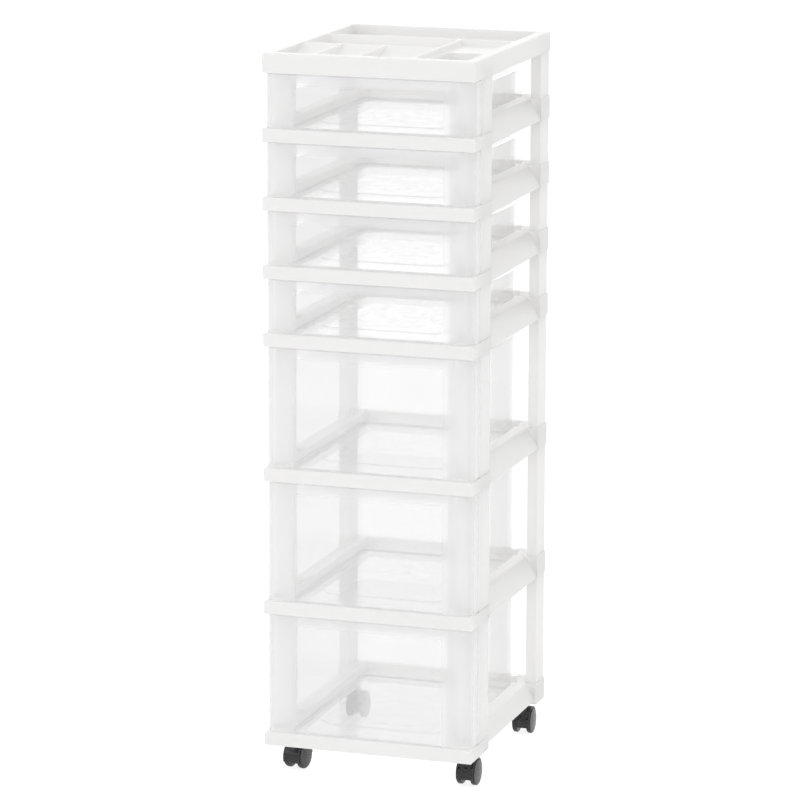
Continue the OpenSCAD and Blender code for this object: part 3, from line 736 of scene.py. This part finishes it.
class DrawerSettings(bpy.types.PropertyGroup):
    haze_colour: bpy.props.FloatVectorProperty(
        name="Haze colour", description="Colour of the haze in the clear plastic",
        subtype="COLOR", size=4, min=0, max=1, default=(0.89, 0.883, 0.887, 1))
    haze: bpy.props.FloatProperty(
        name="Haze", description="Share of a face that hides what is behind it", min=0, max=1,
        default=0.22, subtype="FACTOR")
    edge_haze: bpy.props.FloatProperty(
        name="Edge haze", description="The same share where a face is seen edge on", min=0,
        max=1, default=0.65, subtype="FACTOR")
    # The small edges are painted darker and hazier: painted shade that stands in for the dark look
    # refraction gives the edges of clear plastic
    painted_edge_shade: bpy.props.FloatVectorProperty(
        name="Rim colour", description="Colour of the small edges of the clear plastic",
        subtype="COLOR", size=4, min=0, max=1, default=(0.7, 0.7, 0.73, 1))
    band_haze: bpy.props.FloatProperty(
        name="Band haze", description="Share of the bands of a face that hides what is behind",
        min=0, max=1, default=0.32, subtype="FACTOR")
    floor_haze: bpy.props.FloatProperty(
        name="Floor haze", description="Share of a deep floor that hides what is behind it", min=0,
        max=1, default=0.28, subtype="FACTOR")
    floor_cloud: bpy.props.FloatProperty(
        name="Floor cloud", description="How much the haze of floors varies in soft patches",
        min=0, max=1, default=0.2, subtype="FACTOR")
    floor_colour: bpy.props.FloatVectorProperty(
        name="Floor colour", description="Colour of the haze in a deep floor", subtype="COLOR",
        size=4, min=0, max=1, default=(0.66, 0.652, 0.662, 1))
    floor_tint: bpy.props.FloatVectorProperty(
        name="Floor tint", description="Colour of the light that comes through a deep floor",
        subtype="COLOR", size=4, min=0, max=1, default=(0.9, 0.893, 0.9, 1))
    tint: bpy.props.FloatVectorProperty(
        name="Tint", description="Colour of the light that comes through a surface",
        subtype="COLOR", size=4, min=0, max=1, default=(0.97, 0.967, 0.971, 1))
    band_tint: bpy.props.FloatVectorProperty(
        name="Band tint", description="The same colour in the bands of a face", subtype="COLOR",
        size=4, min=0, max=1, default=(0.912, 0.912, 0.918, 1))
    edge_shade_share: bpy.props.FloatProperty(
        name="Rim haze", description="Share of a small edge that hides what is behind it", min=0,
        max=1, default=0.6, subtype="FACTOR")
    glow: bpy.props.FloatProperty(
        name="Glow", description="Share of the haze that lets light from behind through", min=0,
        max=1, default=0.3, subtype="FACTOR")
    edge_sharpness: bpy.props.FloatProperty(
        name="Edge sharpness", description="How late the edge haze sets in", min=1, max=20,
        default=6)
    wall: bpy.props.FloatProperty(
        name="Wall", description="Wall thickness", min=0.001, max=0.003, default=0.002,
        subtype="DISTANCE", unit="LENGTH")
    face_corner: bpy.props.FloatProperty(
        name="Face corner", description="Radius of the upright corners of a face", min=0.006,
        max=0.02, default=0.014, subtype="DISTANCE", unit="LENGTH")
    edge: bpy.props.FloatProperty(
        name="Edge", description="Radius of the small edges", min=0.0002, max=0.001,
        default=0.0006, subtype="DISTANCE", unit="LENGTH")
    mirror: bpy.props.FloatProperty(
        name="Mirror", description="Refractive index that sets how much a wall reflects",
        min=1.2, max=2, default=1.5)
    roughness: bpy.props.FloatProperty(
        name="Roughness", description="Roughness of the clear plastic", min=0.02, max=1,
        default=0.1, subtype="FACTOR")


class CasterSettings(bpy.types.PropertyGroup):
    colour: bpy.props.FloatVectorProperty(
        name="Colour", description="Colour of the hoods and wheels", subtype="COLOR", size=4,
        min=0, max=1, default=(0.008, 0.008, 0.009, 1))
    steel_colour: bpy.props.FloatVectorProperty(
        name="Steel colour", description="Colour of the stems and axles", subtype="COLOR",
        size=4, min=0, max=1, default=(0.62, 0.62, 0.63, 1))
    edge: bpy.props.FloatProperty(
        name="Edge", description="Radius of the small edges", min=0.0001, max=0.0006,
        default=0.0004, subtype="DISTANCE", unit="LENGTH")


class StageSettings(bpy.types.PropertyGroup):
    floor_size: bpy.props.FloatProperty(
        name="Floor size", description="Width of the floor", min=5, max=200, default=60,
        subtype="DISTANCE", unit="LENGTH")
    world_light: bpy.props.FloatProperty(
        name="World light", description="Strength of the even light from all round", min=0,
        max=3, default=1.01)
    key_power: bpy.props.FloatProperty(
        name="Key power", description="Power of the large lamp at the front left", min=0,
        max=5000, default=22, subtype="POWER")
    back_power: bpy.props.FloatProperty(
        name="Back power", description="Power of the large lamp at the rear left", min=0,
        max=5000, default=26, subtype="POWER")
    top_power: bpy.props.FloatProperty(
        name="Top power", description="Power of the large lamp overhead", min=0, max=5000,
        default=6, subtype="POWER")


# ---------------------------------------------------------------- operators

class TOWER_OT_frames(bpy.types.Operator):
    """Finishes the frame rings and the organizer tray"""
    bl_idname = "tower.frames"
    bl_label = "Frames"

    def execute(self, context):
        settings = context.scene.tower_frames
        edge = settings.edge / MM
        material = white_plastic(settings)
        for name in tiers("deep", "frame") + tiers("shallow", "frame"):
            refine(name, edge, material, "tower", LONG_EDGE, CLEAR_EDGE)
        low, high = (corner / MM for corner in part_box("organizer_top"))
        tray = Tray(low, high).build(edge).object
        tray.data.materials.append(material)
        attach(tray, "tower")
        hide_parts("organizer_top")
        return {"FINISHED"}


class TOWER_OT_drawers(bpy.types.Operator):
    """Models the clear drawers"""
    bl_idname = "tower.drawers"
    bl_label = "Drawers"

    def execute(self, context):
        settings = context.scene.tower_drawers
        wall = clear_plastic(settings, "clear_hazy_plastic", settings.haze_colour,
                             settings.tint, settings.haze, settings.edge_haze)
        # The small edges: clear plastic in a darker colour, painted shade for the dark look of its
        # edges
        rim = clear_plastic(settings, "clear_plastic_rim", settings.painted_edge_shade, settings.tint,
                            settings.edge_shade_share, settings.edge_shade_share)
        band = clear_plastic(settings, "clear_plastic_band", settings.haze_colour,
                             settings.band_tint, settings.band_haze, settings.edge_haze)
        floors = {"deep": (settings.floor_colour, settings.floor_tint, settings.floor_haze),
                  "shallow": (settings.haze_colour, settings.tint, settings.haze)}
        for kind, (colour, tint, haze) in floors.items():
            floor = clear_plastic(settings, f"clear_plastic_{kind}_floor", colour, tint, haze,
                                  settings.edge_haze, settings.floor_cloud)
            names = tiers(kind, "drawer")
            low, high = (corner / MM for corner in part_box(names[0]))
            model = Drawer(settings, low, high).build()
            for name in names:
                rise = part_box(name)[0].z / MM - low.z
                drawer = model.copy(f"{name}_moulding", rise)
                for material in (wall, rim, band, floor):
                    drawer.data.materials.append(material)
                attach(drawer, f"{name}_body")
                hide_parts(name)
            bpy.data.objects.remove(model.object)
        return {"FINISHED"}


class TOWER_OT_casters(bpy.types.Operator):
    """Finishes the casters"""
    bl_idname = "tower.casters"
    bl_label = "Casters"

    def execute(self, context):
        settings = context.scene.tower_casters
        black = black_plastic(settings)
        for corner in CORNERS:
            for part, body in (("hood", f"{corner}_caster"),
                               ("inner_wheel", f"{corner}_inner_roller"),
                               ("outer_wheel", f"{corner}_outer_roller")):
                refine(f"{corner}_{part}", settings.edge / MM, black, body)
        dress([f"{corner}_{part}" for corner in CORNERS for part in ("stem", "axle")],
              bright_steel(settings))
        return {"FINISHED"}


class TOWER_OT_stage(bpy.types.Operator):
    """Sets the floor, the light and the camera"""
    bl_idname = "tower.stage"
    bl_label = "Stage"

    def execute(self, context):
        settings = context.scene.tower_stage
        scene = context.scene
        self.floor(settings)
        self.world(scene, settings)
        for name, (place, width) in LAMPS.items():
            self.lamp(scene, f"{name}_lamp", place, width, getattr(settings, f"{name}_power"))
        self.camera(scene)
        scene.view_settings.view_transform = "Standard"
        scene.cycles.transparent_max_bounces = 64
        scene.cycles.max_bounces = 16
        scene.cycles.diffuse_bounces = 12
        return {"FINISHED"}

    def floor(self, settings):
        """A pale floor that is white where it is seen, but keeps its shadows."""
        deselect()
        bpy.ops.mesh.primitive_plane_add(size=settings.floor_size, location=(0, 0, 0))
        floor = bpy.context.object
        floor.name = "floor"
        material = bpy.data.materials.new("pale_floor")
        tree = Tree(material)
        tree.nodes.remove(tree.nodes["Principled BSDF"])
        lit = tree.add("ShaderNodeBsdfDiffuse", Color=FLOOR_COLOUR)
        seen = tree.add("ShaderNodeAddShader")
        tree.feed(seen, 0, tree.add("ShaderNodeBsdfDiffuse", Color=FLOOR_SHADE).outputs[0])
        tree.feed(seen, 1, tree.add("ShaderNodeEmission", Strength=FLOOR_GLOW).outputs[0])
        tree.surface(tree.blend(tree.background_rays(), lit, seen))
        floor.data.materials.append(material)

    def world(self, scene, settings):
        """An even white light, and a background that is just white."""
        world = bpy.data.worlds.new("white_studio")
        scene.world = world
        tree = Tree(world)
        background = tree.nodes["Background"]
        tree.feed(background, "Color", WHITE)
        strength = tree.add("ShaderNodeMapRange", Value=tree.background_rays(),
                            To_Min=settings.world_light, To_Max=1.0)
        tree.feed(background, "Strength", strength.outputs["Result"])

    def lamp(self, scene, name, place, width, power):
        light = bpy.data.lights.new(name, "AREA")
        light.shape = "DISK"
        light.size = width
        light.energy = power
        lamp = bpy.data.objects.new(name, light)
        scene.collection.objects.link(lamp)
        lamp.location = place
        lamp.visible_camera = False
        aim = Vector(LAMP_AIM) - Vector(place)
        lamp.rotation_euler = aim.to_track_quat("-Z", "Y").to_euler()

    def camera(self, scene):
        data = bpy.data.cameras.new("camera")
        data.lens = CAMERA_LENS
        data.sensor_width = CAMERA_SENSOR
        data.dof.use_dof = False
        camera = bpy.data.objects.new("camera", data)
        scene.collection.objects.link(camera)
        camera.location = CAMERA_PLACE
        camera.rotation_euler = [math.radians(angle) for angle in CAMERA_TURN]
        scene.camera = camera


class TOWER_PT_panel(bpy.types.Panel):
    """Lists the steps that finish the tower"""
    bl_idname = "TOWER_PT_panel"
    bl_label = "Drawer Tower"
    bl_space_type = "VIEW_3D"
    bl_region_type = "UI"
    bl_category = "Drawer Tower"

    def draw(self, context):
        for step in STEPS:
            box = self.layout.box()
            settings = getattr(context.scene, f"tower_{step}")
            for name in settings.__annotations__:
                box.prop(settings, name)
            box.operator(f"tower.{step}")


# ---------------------------------------------------------------- registration

# Each step has an operator, tower.STEP, and its settings on the scene, tower_STEP
STEPS = {"frames": FrameSettings, "drawers": DrawerSettings,
         "casters": CasterSettings, "stage": StageSettings}
CLASSES = (*STEPS.values(), TOWER_OT_frames, TOWER_OT_drawers, TOWER_OT_casters,
           TOWER_OT_stage, TOWER_PT_panel)


def register():
    for cls in CLASSES:
        bpy.utils.register_class(cls)
    for step, group in STEPS.items():
        setattr(bpy.types.Scene, f"tower_{step}", bpy.props.PointerProperty(type=group))


def unregister():
    for step in STEPS:
        delattr(bpy.types.Scene, f"tower_{step}")
    for cls in reversed(CLASSES):
        bpy.utils.unregister_class(cls)


def main():
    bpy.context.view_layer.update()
    register()
    for step in STEPS:
        getattr(bpy.ops.tower, step)()


if __name__ == "__main__":
    main()
